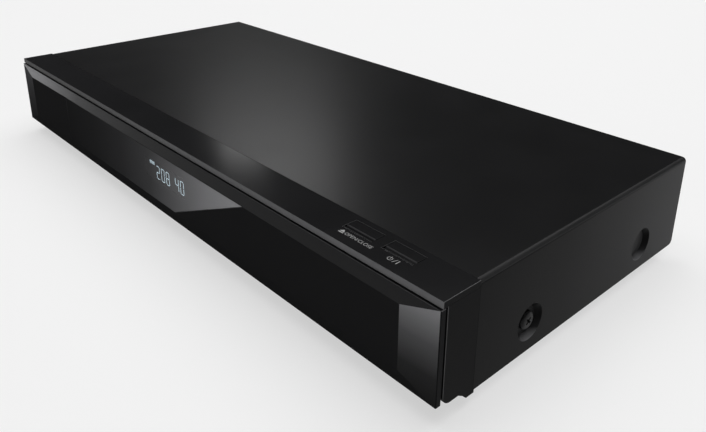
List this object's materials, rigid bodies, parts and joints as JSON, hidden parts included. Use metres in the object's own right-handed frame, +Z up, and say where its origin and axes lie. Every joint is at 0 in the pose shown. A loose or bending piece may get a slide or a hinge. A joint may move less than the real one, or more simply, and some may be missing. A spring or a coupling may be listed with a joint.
{
  "type": "blu-ray recorder",
  "caption": "Slim black disc recorder with a bevelled drop-down front flap, glossy key strip, sliding disc tray, hard drive and rear sockets.",
  "frame": {"origin": "middle of the outer box at the height of the surface that the feet stand on", "axes": "+X to the right seen from the front, +Y to the rear, +Z up; the front faces -Y"},
  "size_m": [0.43, 0.2, 0.059],
  "materials": {
    "cover_paint": "satin black coating on the folded cover",
    "strip_gloss": "polished black strip with two keys",
    "flap_gloss": "polished black flap",
    "window_smoke": "smoked half-mirror window",
    "bezel_black": "fine-grained black moulding",
    "screw_black": "black-plated screws",
    "bright_steel": "plain steel pins, rods and springs",
    "zinc_sheet": "zinc-coated sheet",
    "rear_paint": "black rear panel",
    "foot_rubber": "black feet",
    "board_green": "printed circuit board with its parts",
    "readout_glass": "readout unit",
    "socket_metal": "plated socket shells",
    "socket_black": "black socket housings",
    "tray_black": "black disc tray",
    "loader_grey": "dark grey drive frame",
    "gear_white": "white running gear",
    "belt_rubber": "belt",
    "motor_can": "motor cans",
    "clamp_black": "clamper",
    "lens_glass": "pickup lens",
    "drive_cast": "cast drive case",
    "sink_alloy": "finned block",
    "coil_core": "transformer with yellow tape",
    "capacitor_sleeve": "sleeved capacitors",
    "fan_black": "fan",
    "ribbon_white": "flat cable"
  },
  "bodies": {
    "chassis": {"antenna_sockets": "socket_metal", "audio_sockets": "socket_black", "board_screws": "bright_steel", "bottom_chassis": "zinc_sheet", "ci_slots": "socket_metal", "clamp_bridge": "zinc_sheet", "control_strip": "strip_gloss", "display_board": "board_green", "display_module": "readout_glass", "drive_bracket": "zinc_sheet", "drive_ribbon_cable": "ribbon_white", "fan_frame": "fan_black", "feet": "foot_rubber", "flap_hinge_pins": "bright_steel", "flap_springs": "bright_steel", "front_bezel": "bezel_black", "front_inserts": "bezel_black", "front_io_board": "board_green", "front_usb_socket": "socket_metal", "hard_drive_board": "board_green", "hard_drive_case": "drive_cast", "hdmi_sockets": "socket_metal", "heatsink": "sink_alloy", "loader_frame": "loader_grey", "loading_belt": "belt_rubber", "loading_motor": "motor_can", "main_board": "board_green", "mains_inlet": "socket_black", "network_socket": "socket_metal", "optical_socket": "socket_black", "power_board": "board_green", "power_capacitors": "capacitor_sleeve", "power_transformer": "coil_core", "rear_panel": "rear_paint", "rear_screws": "screw_black", "rear_usb_socket": "socket_metal", "sd_card_slot": "socket_metal", "side_screws": "screw_black", "switch_board": "board_green", "tact_switches": "socket_black", "top_cover": "cover_paint", "tuner_module": "zinc_sheet"},
    "flap": {"front_flap": "flap_gloss", "display_window": "window_smoke"},
    "tray": {"disc_tray": "tray_black"},
    "open_key": {"open_close_button": "strip_gloss"},
    "power_key": {"power_button": "strip_gloss"},
    "fan": {"fan_rotor": "fan_black"},
    "traverse": {"traverse_frame": "loader_grey", "guide_rods": "bright_steel", "spindle_motor": "motor_can", "sled_motor": "motor_can"},
    "spindle": {"turntable": "clamp_black"},
    "clamp": {"clamper": "clamp_black"},
    "sled": {"pickup_sled": "zinc_sheet", "pickup_lens": "lens_glass"},
    "lead_screw": {"sled_lead_screw": "bright_steel"},
    "drive_gear": {"tray_drive_gear": "gear_white"},
    "belt_pulley": {"loading_pulley": "gear_white"},
    "small_pulley": {"motor_pulley": "gear_white"}
  },
  "joints": [
    {"name": "tray_slide", "type": "slide", "parent": "chassis", "child": "tray", "axis": [0, -1, 0], "range_m": [0, 0.146]},
    {"name": "flap_hinge", "type": "hinge", "parent": "chassis", "child": "flap", "pos_m": [0, -0.0902, 0.0143], "axis": [1, 0, 0], "range_deg": [0, 90]},
    {"name": "open_close_press", "type": "slide", "parent": "chassis", "child": "open_key", "axis": [0, 0, -1], "range_m": [0, 0.0006], "stiffness_N_per_m": 1500},
    {"name": "power_press", "type": "slide", "parent": "chassis", "child": "power_key", "axis": [0, 0, -1], "range_m": [0, 0.0006], "stiffness_N_per_m": 1500},
    {"name": "fan_spin", "type": "hinge", "parent": "chassis", "child": "fan", "pos_m": [0.098, 0.086, 0.0356], "axis": [0, 1, 0], "continuous": true},
    {"name": "traverse_lift", "type": "hinge", "parent": "chassis", "child": "traverse", "pos_m": [-0.116, 0.078, 0.038], "axis": [-1, 0, 0], "range_deg": [0, 6.2]},
    {"name": "spindle_spin", "type": "hinge", "parent": "traverse", "child": "spindle", "pos_m": [-0.116, -0.00796, 0.0357], "axis": [0, -0.108, 0.9942], "continuous": true},
    {"name": "clamper_spin", "type": "hinge", "parent": "chassis", "child": "clamp", "pos_m": [-0.116, -0.0077, 0.055], "axis": [0, 0, 1], "continuous": true},
    {"name": "sled_slide", "type": "slide", "parent": "traverse", "child": "sled", "axis": [0, 0.9942, 0.108], "range_m": [0, 0.034]},
    {"name": "lead_screw_turn", "type": "hinge", "parent": "traverse", "child": "lead_screw", "pos_m": [-0.145, 0.02295, 0.029], "axis": [0, 0.9942, 0.108], "range_deg": [0, 4088.2]},
    {"name": "drive_gear_turn", "type": "hinge", "parent": "chassis", "child": "drive_gear", "pos_m": [-0.1588, -0.057, 0.036], "axis": [0, 0, 1], "range_deg": [0, 735.3]},
    {"name": "belt_pulley_turn", "type": "hinge", "parent": "chassis", "child": "belt_pulley", "pos_m": [-0.1365, -0.057, 0.028], "axis": [0, 0, 1], "range_deg": [-2156.8, 0]},
    {"name": "small_pulley_turn", "type": "hinge", "parent": "chassis", "child": "small_pulley", "pos_m": [-0.0985, -0.057, 0.026], "axis": [0, 0, 1], "range_deg": [-7231.5, 0]}
  ],
  "couplings": [
    {"joint": "flap_hinge", "follows": "tray_slide", "rad_per_m": 10.758},
    {"joint": "drive_gear_turn", "follows": "tray_slide", "rad_per_m": 87.72},
    {"joint": "belt_pulley_turn", "follows": "tray_slide", "rad_per_m": -257.31},
    {"joint": "small_pulley_turn", "follows": "tray_slide", "rad_per_m": -862.75},
    {"joint": "clamper_spin", "follows": "spindle_spin", "ratio": 1},
    {"joint": "lead_screw_turn", "follows": "sled_slide", "rad_per_m": 2094.4}
  ]
}
